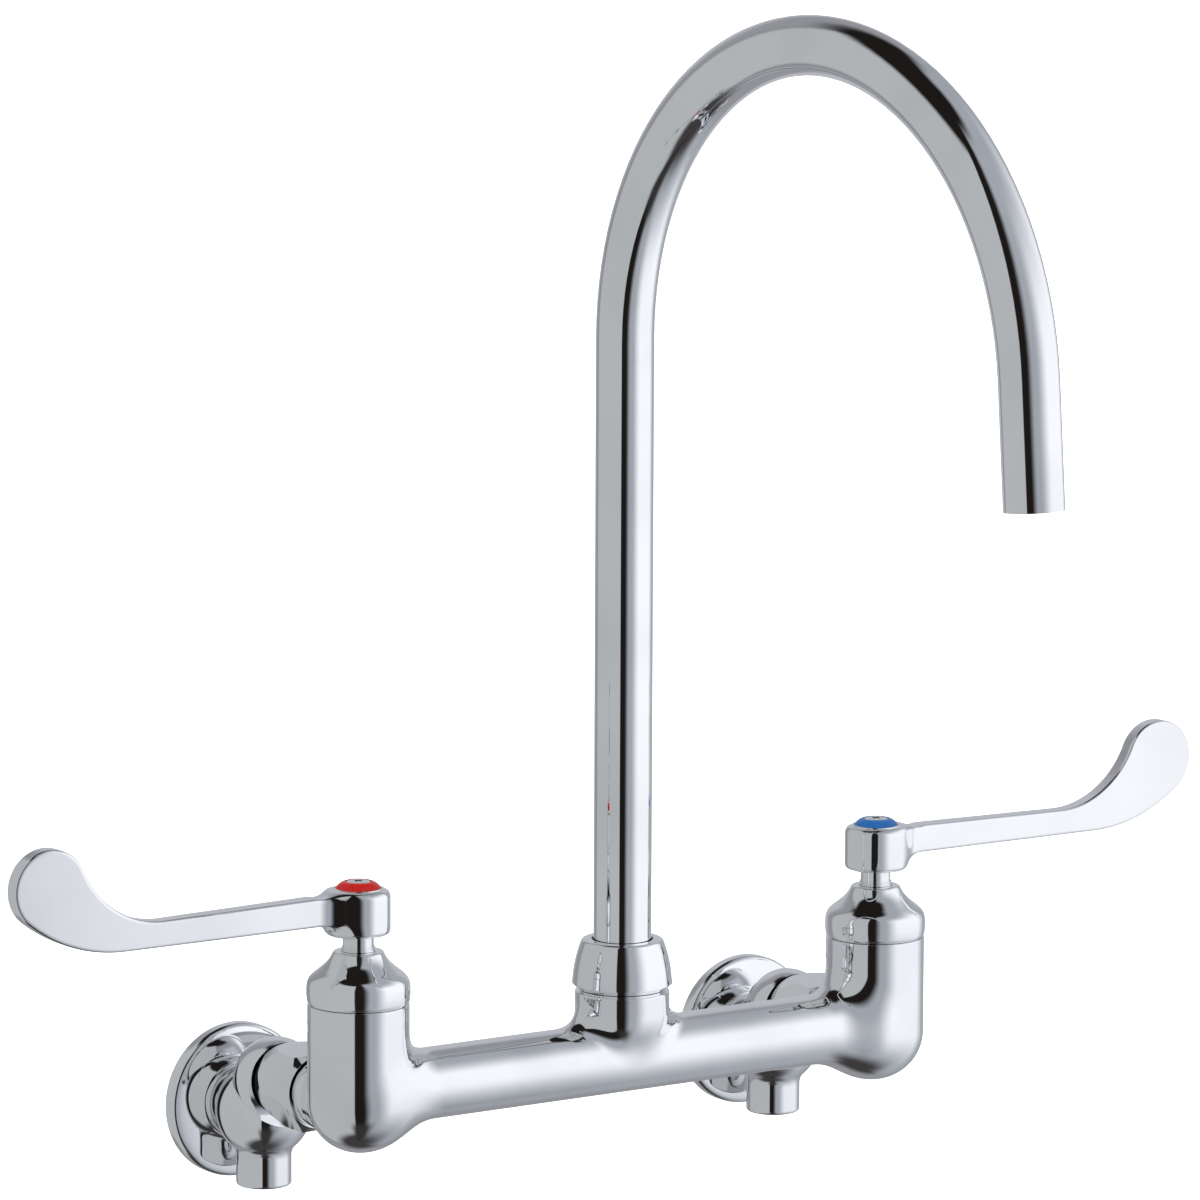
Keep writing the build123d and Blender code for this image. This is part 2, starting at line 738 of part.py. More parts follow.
# Fibre washer that seals the union.
def make_union_washer(x):
    with BuildPart() as union_washer:
        bar(out_from_wall(x, union_rise), washer_out, boss_out, tail_flange_r, washer_hole_r)
    return union_washer


# Inlet arm: a cast elbow from the supply up to the union, with the stop valve's stub below.
def make_inlet_arm(x):
    supply = out_from_wall(x, 0)
    union = out_from_wall(x, union_rise)
    stop = level(x, -arm_out)
    with BuildPart() as inlet_arm:
        with BuildSketch(upright(x, -arm_out)) as outline:
            with BuildLine():
                waist = -sqrt(ball_r**2 - stub_r**2)
                CenterArc((0, 0), ball_r, 90, -90 - degrees(acos(stub_r / ball_r)))
                Polyline((stub_r, waist), (stub_r, stub_low), (0, stub_low), (0, ball_r))
            make_face()
            fillet(outline.vertices().sort_by_distance((stub_r, waist))[0], stub_blend)
            fillet(outline.vertices().sort_by_distance((stub_r, stub_low))[0], stub_round)
        revolve(axis=Axis((x, -arm_out, 0), (0, 0, 1)))
        with BuildSketch(beside(x, elbow_z)):
            with BuildLine():
                face_r = sqrt(elbow_r**2 - (face_out - elbow_out) ** 2)
                ThreePointArc((0, elbow_out - elbow_r), (elbow_r, elbow_out), (face_r, face_out))
                Polyline((face_r, face_out), (0, face_out), (0, elbow_out - elbow_r))
            make_face()
        revolve(axis=Axis((x, 0, elbow_z), (0, -1, 0)))
        drill(union, face_out, washer_out, nut_flats / sqrt(3) + nut_swing)
        bar(supply, 0, arm_out, rear_boss_r)
        bar(union, elbow_out, washer_out, tail_r)
        bar(union, nut_step_out, washer_out, tail_flange_r)
        drill(supply, 0, supply_bore_l, supply_bore_r)
        drill(supply, 0, arm_out, passage_r)
        drill(union, arm_out, washer_out, passage_r)
        drill(stop, 0, union_rise, stop_seat_r)
        flatted_bar(stop, gland_top, stop_seat_rise, stop_bore_r, stop_flats, Mode.SUBTRACT)
        drill(stop, stub_low, gland_top, gland_bore)
    return inlet_arm


# Pressed chrome plate that covers the hole in the wall.
def make_wall_flange(x):
    crown = (flange_crown_r, flange_dome)
    hole_r = rear_boss_r + 2 * run_gap
    with BuildPart() as wall_flange:
        with BuildSketch(beside(x, 0)) as outline:
            with BuildLine():
                shell = FilletPolyline(
                    (flange_r, 0),
                    (flange_r, flange_side),
                    crown,
                    (hole_r, flange_dome - flange_sheet),
                    radius=[flange_sheet + rim_round, flange_sheet + rim_round],
                )
                offset(shell, flange_sheet, side=Side.LEFT)
            make_face()
        revolve(axis=Axis((x, 0, 0), (0, -1, 0)))
    return wall_flange


# Gland that closes the stop's stub and guides its spindle.
def make_stop_gland(x):
    with BuildPart() as stop_gland:
        bar(level(x, -arm_out), gland_low, gland_top, gland_r, spindle_r + thread_gap)
    return stop_gland


# Stop spindle, with a slot for a screwdriver in its lower end. It turns but doesn't rise.
def make_stop_spindle(x):
    stop = level(x, -arm_out)
    spindle_low = gland_low + spindle_sink
    with BuildPart() as stop_spindle:
        bar(stop, spindle_low, collar_low, spindle_r)
        bar(stop, collar_low, spindle_collar_top, spindle_collar_r)
        bar(stop, spindle_collar_top, spindle_top, spindle_thread_r)
        groove(stop, (gland_low + gland_top) / 2, spindle_r + thread_gap)
        with BuildSketch(stop.offset(spindle_low)):
            Rectangle(2 * spindle_r, spindle_slot_w)
        extrude(amount=spindle_slot_depth, mode=Mode.SUBTRACT)
    return stop_spindle


# Rubber ring on the stop's spindle.
def make_spindle_seal(x):
    with BuildPart() as spindle_seal:
        rubber_ring(level(x, -arm_out), (gland_low + gland_top) / 2, spindle_r + thread_gap)
    return spindle_seal


# Stop plug. Its flats keep it from turning, so the spindle's thread slides it to its seat.
def make_stop_plug(x):
    stop = level(x, -arm_out)
    with BuildPart() as stop_plug:
        flatted_bar(
            stop, plug_low, plug_top - plug_washer_t, stop_bore_r - free_gap, stop_flats - 2 * free_gap
        )
        drill(stop, plug_low, spindle_top + free_gap, spindle_thread_r + thread_gap)
    return stop_plug


# Rubber disc on the plug, which closes the seat.
def make_plug_washer(x):
    with BuildPart() as plug_washer:
        bar(level(x, -arm_out), plug_top - plug_washer_t, plug_top, plug_washer_r)
    return plug_washer


os.makedirs("parts", exist_ok=True)


# Names a finished piece and writes it to its own file.
def write(name, piece):
    piece.part.label = name
    export_step(piece.part, f"parts/{name}.step")


write("body_casting", make_body_casting())
write("spout_tube", make_spout_tube())
write("spout_sleeve", make_spout_sleeve())
write("lower_bearing", make_lower_bearing())
write("upper_bearing", make_upper_bearing())
write("spout_nut", make_spout_nut())
for place, seal_z in zip(("lower", "upper"), spout_seal_zs):
    write(f"spout_seal_{place}", make_spout_seal(seal_z))

for water, x, angle in (("hot", -half_centres, 180 + blade_forward), ("cold", half_centres, -blade_forward)):
    write(f"{water}_bonnet", make_bonnet(x))
    write(f"{water}_cartridge_housing", make_cartridge_housing(x))
    write(f"{water}_body_seal", make_body_seal(x))
    write(f"{water}_seat_seal", make_seat_seal(x))
    write(f"{water}_fixed_disc", make_fixed_disc(x))
    write(f"{water}_turning_disc", make_turning_disc(x))
    write(f"{water}_stem", make_stem(x))
    write(f"{water}_thrust_washer", make_thrust_washer(x))
    for place, seal_z in zip(("lower", "upper"), stem_seal_zs):
        write(f"{water}_stem_seal_{place}", make_stem_seal(x, seal_z))
    write(f"{water}_handle", make_handle(x, angle))
    write(f"{water}_index_ring", make_index_ring(x))
    write(f"{water}_handle_screw", make_handle_screw(x))
    write(f"{water}_union_nut", make_union_nut(x))
    write(f"{water}_union_washer", make_union_washer(x))
    write(f"{water}_inlet_arm", make_inlet_arm(x))
    write(f"{water}_wall_flange", make_wall_flange(x))
    write(f"{water}_stop_gland", make_stop_gland(x))
    write(f"{water}_stop_spindle", make_stop_spindle(x))
    write(f"{water}_spindle_seal", make_spindle_seal(x))
    write(f"{water}_stop_plug", make_stop_plug(x))
    write(f"{water}_plug_washer", make_plug_washer(x))
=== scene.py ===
import bpy
import json
import math
import numpy as np
from mathutils import Matrix, Vector


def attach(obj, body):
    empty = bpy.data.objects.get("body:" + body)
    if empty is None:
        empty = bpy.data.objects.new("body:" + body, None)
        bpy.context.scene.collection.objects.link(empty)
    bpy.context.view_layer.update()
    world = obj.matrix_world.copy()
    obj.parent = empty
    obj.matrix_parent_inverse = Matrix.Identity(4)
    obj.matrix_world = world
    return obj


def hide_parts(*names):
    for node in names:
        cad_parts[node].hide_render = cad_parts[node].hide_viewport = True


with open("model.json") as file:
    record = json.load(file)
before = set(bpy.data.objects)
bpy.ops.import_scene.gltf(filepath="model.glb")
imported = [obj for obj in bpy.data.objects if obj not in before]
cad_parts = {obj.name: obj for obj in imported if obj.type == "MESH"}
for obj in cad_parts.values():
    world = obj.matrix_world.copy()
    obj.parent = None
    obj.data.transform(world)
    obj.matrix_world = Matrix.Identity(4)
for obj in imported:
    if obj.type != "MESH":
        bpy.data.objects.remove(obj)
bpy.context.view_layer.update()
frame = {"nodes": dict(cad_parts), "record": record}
nodes = frame["nodes"]
scene = bpy.context.scene
print("frame loaded")


def deselectAll():
    if bpy.context.object and bpy.context.object.mode != "OBJECT":
        bpy.ops.object.mode_set(mode="OBJECT")
    bpy.ops.object.select_all(action="DESELECT")


def selectOnly(piece):
    deselectAll()
    bpy.context.view_layer.objects.active = piece
    piece.select_set(True)


# camera, standing where the photographer stood
photoView = {
    "turn": 33.459,        # degrees round to the hot side
    "height": 9.179,       # degrees above level
    "roll": 0.241,
    "distance": 2.5721,
    "target": (-0.009323, -0.079, 0.169232),
    "lens": 237.58,
    "sensor": 36,
    "farthest": 60,
}


def addCamera(view):
    turn, height, roll = (math.radians(view[k]) for k in ("turn", "height", "roll"))
    level = math.cos(height)
    away = Vector((math.sin(turn) * level, math.cos(turn) * level, -math.sin(height)))
    right = Vector((math.cos(turn), -math.sin(turn), 0))
    up = right.cross(away)
    tiltedRight = right * math.cos(roll) + up * math.sin(roll)
    tiltedUp = up * math.cos(roll) - right * math.sin(roll)
    place = Vector(view["target"]) - away * view["distance"]
    facing = Matrix((tiltedRight, tiltedUp, -away)).transposed().to_4x4()
    data = bpy.data.cameras.new("photoCamera")
    data.lens = view["lens"]
    data.sensor_width = view["sensor"]
    data.clip_end = view["farthest"]
    camera = bpy.data.objects.new("photoCamera", data)
    scene.collection.objects.link(camera)
    camera.matrix_world = Matrix.Translation(place) @ facing
    scene.camera = camera


addCamera(photoView)
print("camera placed")


# studio: a pale floor well below the wall-hung faucet, and soft light all round
studio = {
    "floorHeight": -0.32,
    "floorSize": 60.0,
    "floorColour": (0.93, 0.93, 0.93, 1),
    "floorRough": 0.9,
    "overheadSoftness": 60.0,
    "overheadPower": 3.6,
}


def newNode(tree, kind, **values):
    node = tree.nodes.new(kind)
    for key, value in values.items():
        setattr(node, key, value)
    return node


def addFloor(s):
    deselectAll()
    bpy.ops.mesh.primitive_plane_add(size=s["floorSize"], location=(0, 0, s["floorHeight"]))
    floor = bpy.context.object
    floor.name = "studioFloor"
    paint = bpy.data.materials.new("floorPaint")
    paint.use_nodes = True
    shader = paint.node_tree.nodes["Principled BSDF"]
    shader.inputs["Base Color"].default_value = s["floorColour"]
    shader.inputs["Roughness"].default_value = s["floorRough"]
    floor.data.materials.append(paint)
    floor.visible_glossy = False
    light = bpy.data.lights.new("overheadLight", "SUN")
    light.angle = math.radians(s["overheadSoftness"])
    light.energy = s["overheadPower"]
    lamp = bpy.data.objects.new("overheadLight", light)
    lamp.visible_glossy = False
    scene.collection.objects.link(lamp)


addFloor(studio)


# what the polished metal sees: a drum of soft-edged cards that stands round the faucet. Turns go
# round from the camera's side, to the right positive, and heights are above level as seen from the
# faucet, in degrees. The edges are the softness at the left, right, bottom and top, and a later
# card covers an earlier one.
lightTent = {
    "radius": 0.70,
    "halfHeight": 5.0,
    "centre": (0.0, -0.079, 0.10),
    "floorShade": (0.050, 0.046, 0.047),
    "ceilingShade": (0.0125, 0.0105, 0.0095),
    "meeting": -52,
    "meetingSoft": 6,
    "sides": 96,
    "daylight": (0.86, 0.87, 0.88),
    "cards": {
        "back": {
            "turns": (112, 232), "heights": (-64, 56), "edges": (12, 10, 10, 6), "colour": (0.30, 0.305, 0.325)},
        "backdrop": {
            "turns": (148, 208), "heights": (-20, 36), "edges": (10, 12, 8, 8), "colour": (0.50, 0.51, 0.55)},
        "greyCard": {
            "turns": (-128, -13), "heights": (-64, 60), "edges": (8, 1.5, 8, 4), "colour": (0.46, 0.48, 0.49)},
        "rightFill": {
            "turns": (13, 152), "heights": (-68, 74), "edges": (9, 12, 16, 6), "colour": (0.375, 0.40, 0.44)},
        "softbox": {
            "turns": (46, 127), "heights": (-34, 38), "edges": (18, 15, 30, 20), "colour": (1.00, 1.02, 1.06)},
        "tripodGap": {
            "turns": (-20, 24), "heights": (-90, -42), "edges": (9, 16, 1, 9), "colour": (0.036, 0.033, 0.033)},
    },
}


def calculate(tree, operation, first, second=None):
    node = newNode(tree, "ShaderNodeMath", operation=operation)
    for slot, value in enumerate((first, second)):
        if value is None:
            continue
        if isinstance(value, (int, float)):
            node.inputs[slot].default_value = value
        else:
            tree.links.new(value, node.inputs[slot])
    return node.outputs[0]


def ramp(tree, value, stops):
    node = newNode(tree, "ShaderNodeValToRGB")
    while len(node.color_ramp.elements) > 1:
        node.color_ramp.elements.remove(node.color_ramp.elements[-1])
    for count, (place, colour) in enumerate(stops):
        stop = node.color_ramp.elements[0] if count == 0 else node.color_ramp.elements.new(place)
        stop.position = place
        stop.color = (*colour, 1)
    tree.links.new(value, node.inputs[0])
    return node.outputs[0]


def plainColour(tree, colour):
    node = newNode(tree, "ShaderNodeRGB")
    node.outputs[0].default_value = (*colour, 1)
    return node.outputs[0]


# 0 below a value, 1 above it, with a soft step between
def edge(tree, value, place, half):
    step = newNode(tree, "ShaderNodeMapRange", interpolation_type="SMOOTHSTEP")
    step.inputs["From Min"].default_value = place - half
    step.inputs["From Max"].default_value = place + half
    tree.links.new(value, step.inputs["Value"])
    return step.outputs["Result"]


def blend(tree, factor, first, second):
    mix = newNode(tree, "ShaderNodeMix", data_type="RGBA")
    tree.links.new(factor, mix.inputs["Factor"])
    tree.links.new(first, mix.inputs["A"])
    tree.links.new(second, mix.inputs["B"])
    return mix.outputs["Result"]


def addCard(tree, card, angle, height, seen):
    left, right = card["turns"]
    bottom, top = card["heights"]
    softLeft, softRight, softBottom, softTop = card["edges"]
    # turned so that the card's middle is at 0
    turned = calculate(tree, "WRAP", calculate(tree, "SUBTRACT", angle, (left + right) / 2), 180.0)
    turned.node.inputs[2].default_value = -180.0
    half = (right - left) / 2
    mask = edge(tree, turned, -half, softLeft)
    for other in (
        calculate(tree, "SUBTRACT", 1.0, edge(tree, turned, half, softRight)),
        edge(tree, height, bottom, softBottom),
        calculate(tree, "SUBTRACT", 1.0, edge(tree, height, top, softTop)),
    ):
        mask = calculate(tree, "MULTIPLY", mask, other)
    return blend(tree, mask, seen, plainColour(tree, card["colour"]))


def addDrum(t):
    deselectAll()
    bpy.ops.mesh.primitive_cylinder_add(
        vertices=t["sides"], radius=t["radius"], depth=2 * t["halfHeight"], location=t["centre"])
    bpy.ops.object.transform_apply(location=True, rotation=True, scale=True)
    tent = bpy.context.object
    tent.name = "lightTent"
    tent.visible_camera = tent.visible_diffuse = tent.visible_shadow = tent.visible_transmission = False
    return tent


# the sum of two products, each of a place and a fixed number or another place
def addProducts(tree, *pairs):
    return calculate(tree, "ADD", *(calculate(tree, "MULTIPLY", first, second) for first, second in pairs))


def paintCards(t):
    paint = bpy.data.materials.new("tentCards")
    paint.use_nodes = True
    paint.cycles.emission_sampling = "NONE"
    tree = paint.node_tree
    tree.nodes.clear()
    coords = newNode(tree, "ShaderNodeTexCoord")
    split = newNode(tree, "ShaderNodeSeparateXYZ")
    tree.links.new(coords.outputs["Object"], split.inputs[0])
    x, y, z = (
        calculate(tree, "SUBTRACT", place, middle) for place, middle in zip(split.outputs, t["centre"]))
    turn = math.radians(photoView["turn"])
    side = addProducts(tree, (x, math.cos(turn)), (y, -math.sin(turn)))
    front = addProducts(tree, (x, -math.sin(turn)), (y, -math.cos(turn)))
    reach = calculate(tree, "SQRT", addProducts(tree, (x, x), (y, y)))
    angle, height = (
        calculate(tree, "MULTIPLY", calculate(tree, "ARCTAN2", over, under), 180 / math.pi)
        for over, under in ((side, front), (z, reach)))
    meeting = edge(tree, height, t["meeting"], t["meetingSoft"])
    seen = blend(tree, meeting, plainColour(tree, t["floorShade"]), plainColour(tree, t["ceilingShade"]))
    for card in t["cards"].values():
        seen = addCard(tree, card, angle, height, seen)
    glow = newNode(tree, "ShaderNodeEmission")
    tree.links.new(seen, glow.inputs["Color"])
    output = newNode(tree, "ShaderNodeOutputMaterial")
    tree.links.new(glow.outputs[0], output.inputs["Surface"])
    return paint


def addDaylight(colour):
    world = bpy.data.worlds.new("studioWorld")
    scene.world = world
    world.use_nodes = True
    world.node_tree.nodes["Background"].inputs["Color"].default_value = (*colour, 1)


addDaylight(lightTent["daylight"])
addDrum(lightTent).data.materials.append(paintCards(lightTent))
scene.view_settings.view_transform = "Standard"
print("studio ready")


# finishes: the colour, the least and greatest roughness, and how strong and how fine the waviness
# is. All of them share the small blotches in "wear".
finishes = {
    "polishedChrome": {
        "metal": True, "colour": (0.93, 0.935, 0.945), "rough": (0.012, 0.03), "wave": 0.006, "waveScale": 60},
    "castChrome": {
        "metal": True, "colour": (0.92, 0.925, 0.935), "rough": (0.02, 0.05), "wave": 0.02, "waveScale": 90},
    "bareBrass": {
        "metal": True, "colour": (0.72, 0.55, 0.26), "rough": (0.22, 0.36), "wave": 0.08, "waveScale": 500},
    "screwChrome": {
        "metal": True, "colour": (0.85, 0.85, 0.85), "rough": (0.10, 0.20), "wave": 0.05, "waveScale": 300},
    "whiteCeramic": {
        "metal": False, "colour": (0.88, 0.88, 0.85), "rough": (0.18, 0.28), "wave": 0.01, "waveScale": 800},
    "blackRubber": {
        "metal": False, "colour": (0.025, 0.025, 0.027), "rough": (0.5, 0.7), "wave": 0.1, "waveScale": 900},
    "paleNylon": {
        "metal": False, "colour": (0.82, 0.80, 0.72), "rough": (0.35, 0.5), "wave": 0.03, "waveScale": 700},
    "redFibre": {
        "metal": False, "colour": (0.36, 0.10, 0.05), "rough": (0.6, 0.8), "wave": 0.3, "waveScale": 1200},
    "redEnamel": {
        "metal": False, "colour": (0.30, 0.005, 0.003), "rough": (0.16, 0.26), "wave": 0.02, "waveScale": 500},
    "blueEnamel": {
        "metal": False, "colour": (0.007, 0.075, 0.235), "rough": (0.16, 0.26), "wave": 0.02, "waveScale": 500},
}
wear = {
    "blotchScale": 0.4, "blotchDetail": 4, "fineDetail": 2, "dulling": 0.93, "dullBelow": 0.30,
    "brightAbove": 0.55, "smoothBelow": 0.35, "roughAbove": 0.70, "bumpDepth": 0.0004, "plainSpecular": 0.35,
}


def addNoise(tree, scale, detail):
    coords = newNode(tree, "ShaderNodeTexCoord")
    noise = newNode(tree, "ShaderNodeTexNoise")
    noise.inputs["Scale"].default_value = scale
    noise.inputs["Detail"].default_value = detail
    tree.links.new(coords.outputs["Object"], noise.inputs["Vector"])
    return noise.outputs["Fac"]


def makeFinish(name, f):
    material = bpy.data.materials.new(name)
    material.use_nodes = True
    tree = material.node_tree
    shader = tree.nodes["Principled BSDF"]
    link = tree.links.new
    blotch = addNoise(tree, f["waveScale"] * wear["blotchScale"], wear["blotchDetail"])
    fine = addNoise(tree, f["waveScale"], wear["fineDetail"])
    dull = tuple(c * wear["dulling"] for c in f["colour"])
    stops = [(wear["dullBelow"], dull), (wear["brightAbove"], f["colour"]), (1.0, f["colour"])]
    link(ramp(tree, blotch, stops), shader.inputs["Base Color"])
    rough = newNode(tree, "ShaderNodeMapRange")
    limits = (wear["smoothBelow"], wear["roughAbove"], *f["rough"])
    for socket, value in zip(("From Min", "From Max", "To Min", "To Max"), limits):
        rough.inputs[socket].default_value = value
    link(blotch, rough.inputs["Value"])
    link(rough.outputs["Result"], shader.inputs["Roughness"])
    bump = newNode(tree, "ShaderNodeBump")
    bump.inputs["Strength"].default_value = f["wave"]
    bump.inputs["Distance"].default_value = wear["bumpDepth"]
    link(fine, bump.inputs["Height"])
    link(bump.outputs["Normal"], shader.inputs["Normal"])
    shader.inputs["Metallic"].default_value = 1.0 if f["metal"] else 0.0
    if not f["metal"]:
        shader.inputs["Specular IOR Level"].default_value = wear["plainSpecular"]
    return material


made = {name: makeFinish(name, f) for name, f in finishes.items()}
bySlot = {
    "chrome": "polishedChrome", "satin_chrome": "castChrome", "screw_chrome": "screwChrome",
    "brass": "bareBrass", "ceramic": "whiteCeramic", "rubber": "blackRubber", "nylon": "paleNylon",
    "fibre": "redFibre", "red_plastic": "redEnamel", "blue_plastic": "blueEnamel",
}
for part in frame["record"]["subparts"]:
    node = nodes[part["node"]]
    node.data.materials.clear()
    node.data.materials.append(made[bySlot[part["material_slot"]]])
print("finishes assigned")


# new pieces are drawn in millimetres here and made in metres
mm = 0.001


def addBar(start, end, radius, sides=96):
    start, end = Vector(start) * mm, Vector(end) * mm
    turn = (end - start).to_track_quat("Z", "Y").to_euler()
    deselectAll()
    bpy.ops.mesh.primitive_cylinder_add(
        vertices=sides, radius=radius * mm, depth=(end - start).length,
        location=(start + end) / 2, rotation=turn)
    return bpy.context.object


def addBall(centre, radius):
    deselectAll()
    bpy.ops.mesh.primitive_uv_sphere_add(
        segments=96, ring_count=48, radius=radius * mm, location=Vector(centre) * mm)
    return bpy.context.object


# joins pieces into one object that sits at the origin
def joinPieces(pieces, name):
    deselectAll()
    for piece in pieces:
        piece.select_set(True)
    bpy.context.view_layer.objects.active = pieces[0]
    bpy.ops.object.join()
    bpy.ops.object.transform_apply(location=True, rotation=True, scale=True)
    whole = bpy.context.object
    whole.name = name
    return whole


def wrapInSkin(piece, grain):
    selectOnly(piece)
    skin = piece.modifiers.new("skin", "REMESH")
    skin.mode = "VOXEL"
    skin.voxel_size = grain * mm
    bpy.ops.object.modifier_apply(modifier="skin")


def carve(piece, tool, operation):
    selectOnly(piece)
    cut = piece.modifiers.new("cut", "BOOLEAN")
    cut.operation = operation
    cut.solver = "MANIFOLD"
    cut.object = tool
    bpy.ops.object.modifier_apply(modifier="cut")
    bpy.data.objects.remove(tool)


def readPoints(piece):
    flat = np.empty(len(piece.data.vertices) * 3)
    piece.data.vertices.foreach_get("co", flat)
    return flat.reshape(-1, 3) / mm


def writePoints(piece, points):
    piece.data.vertices.foreach_set("co", (points * mm).ravel())
    piece.data.update()


# depth functions give millimetres outside (+) or inside (-) a form, for a list of points
def barDepth(points, start, end, radius):
    start = np.array(start, float)
    along = np.array(end, float) - start
    share = np.clip((points - start) @ along / (along @ along), 0, 1)
    return np.linalg.norm(points - start - share[:, None] * along, axis=1) - radius


def runTogether(first, second, reach):
    near = np.maximum(reach - np.abs(first - second), 0) / reach
    return np.minimum(first, second) - near * near * reach / 4


# soft step from 0 to 1
def rise(value, start, width):
    share = np.clip((value - start) / width, 0, 1)
    return share * share * (3 - 2 * share)


def slopeOf(depth, points):
    step = 0.01
    slopes = [(depth(points + shift) - depth(points - shift)) / (2 * step) for shift in np.eye(3) * step]
    return np.stack(slopes, 1)


# draws the moving points of a piece on to the surface where a depth function is nought, and evens
# them out between rounds
def drawOnto(piece, depth, moving, rounds=3, steps=5):
    longest, leastSlope, evening = 1.5, 0.05, 0.5
    points = readPoints(piece)
    edges = np.empty(len(piece.data.edges) * 2, int)
    piece.data.edges.foreach_get("vertices", edges)
    first, second = edges.reshape(-1, 2).T
    count = len(points)
    degree = np.bincount(first, minlength=count) + np.bincount(second, minlength=count)
    for turn in range(rounds):
        for step in range(steps):
            spots = points[moving]
            slope = slopeOf(depth, spots)
            shift = slope * (depth(spots) / np.maximum((slope ** 2).sum(1), leastSlope))[:, None]
            length = np.linalg.norm(shift, axis=1)[:, None]
            points[moving] = spots - shift * np.minimum(1, longest / np.maximum(length, 1e-9))
        if turn < rounds - 1:
            sums = [
                np.bincount(first, points[second, k], count) + np.bincount(second, points[first, k], count)
                for k in range(3)]
            middle = np.stack(sums, 1) / degree[:, None]
            points[moving] += evening * (middle - points)[moving]
    writePoints(piece, points)


# leaves the piece in edit mode with the wanted points selected
def pick(piece, wanted):
    bpy.ops.object.mode_set(mode="OBJECT")
    for face in piece.data.polygons:
        face.select = False
    for line in piece.data.edges:
        line.select = False
    for point in piece.data.vertices:
        point.select = wanted(point.co / mm)
    bpy.ops.object.mode_set(mode="EDIT")
    bpy.ops.mesh.select_mode(type="VERT")


# cuts what stands over a height off the picked part, leaving an open rim
def cutOff(piece, wanted, height):
    selectOnly(piece)
    pick(piece, wanted)
    bpy.ops.mesh.bisect(plane_co=(0, 0, height * mm), plane_no=(0, 0, 1), clear_outer=True)
    bpy.ops.object.mode_set(mode="OBJECT")


# carries an open rim on through a turned outline of (radius, height), and closes it at the end
def turnIn(piece, axis, outline):
    selectOnly(piece)
    x, y = axis
    (radius, height), *rest = outline
    heightSlack, radiusSlack = 0.004, 0.2
    pick(piece, lambda p: (
        abs(p.z - height) < heightSlack and abs(math.hypot(p.x - x, p.y - y) - radius) < radiusSlack))
    for newRadius, newHeight in rest:
        bpy.ops.mesh.extrude_region_move(TRANSFORM_OT_translate={"value": (0, 0, (newHeight - height) * mm)})
        share = newRadius / radius
        bpy.ops.transform.resize(value=(share, share, 1), center_override=(x * mm, y * mm, newHeight * mm))
        radius, height = newRadius, newHeight
    bpy.ops.mesh.edge_face_add()
    bpy.ops.object.mode_set(mode="OBJECT")


# a turned solid: an outline of (radius, distance) spun about an axis that starts at a place. An
# outline that comes back to its first point makes a ring.
def addTurned(name, place, towards, outline, sides=96):
    place, towards = Vector(place), Vector(towards).normalized()
    radius, distance = outline[0]
    ringed = outline[0] == outline[-1]
    deselectAll()
    bpy.ops.mesh.primitive_circle_add(
        vertices=sides, radius=radius * mm, fill_type="NOTHING" if ringed else "NGON",
        location=(0, 0, distance * mm))
    piece = bpy.context.object
    bpy.ops.object.mode_set(mode="EDIT")
    bpy.ops.mesh.select_all(action="SELECT")
    for newRadius, newDistance in outline[1:]:
        bpy.ops.mesh.extrude_region_move(TRANSFORM_OT_translate={"value": (0, 0, (newDistance - distance) * mm)})
        share = newRadius / radius
        bpy.ops.transform.resize(value=(share, share, 1), center_override=(0, 0, newDistance * mm))
        radius, distance = newRadius, newDistance
    bpy.ops.mesh.select_all(action="SELECT")
    if ringed:
        bpy.ops.mesh.remove_doubles(threshold=0.002 * mm)
    bpy.ops.mesh.normals_make_consistent(inside=False)
    bpy.ops.object.mode_set(mode="OBJECT")
    piece.name = name
    facing = towards.to_track_quat("Z", "Y").to_matrix().to_4x4()
    start = Matrix.Translation((0, 0, outline[0][1] * mm))
    piece.matrix_world = Matrix.Translation(place * mm) @ facing @ start
    bpy.ops.object.transform_apply(location=True, rotation=True, scale=True)
    return piece


def smoothBy(piece, degrees):
    selectOnly(piece)
    bpy.ops.object.shade_smooth_by_angle(angle=math.radians(degrees))


# quarter circle from one point of a turned outline to the next, bulging away from the inner corner
def rounding(start, end, corner, steps=4):
    points = []
    for k in range(steps + 1):
        a = math.pi / 2 * k / steps
        points.append(tuple(
            c + (s - c) * math.cos(a) + (e - c) * math.sin(a) for s, e, c in zip(start, end, corner)))
    return points


# dresses a finished piece: material, body and the CAD nodes it stands for
def dress(piece, finish, rider, stoodFor):
    piece.data.materials.clear()
    piece.data.materials.append(made[finish])
    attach(piece, rider)
    if stoodFor:
        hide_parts(*stoodFor)
    return piece


# the valves' and the hub's axes stand this far out from the wall, the valves' this far to the sides
valveOut = 79.0
halfCentres = 101.6
waters = {
    "hot": {"place": -halfCentres, "bladeAngle": 181.0},
    "cold": {"place": halfCentres, "bladeAngle": -1.0},
}


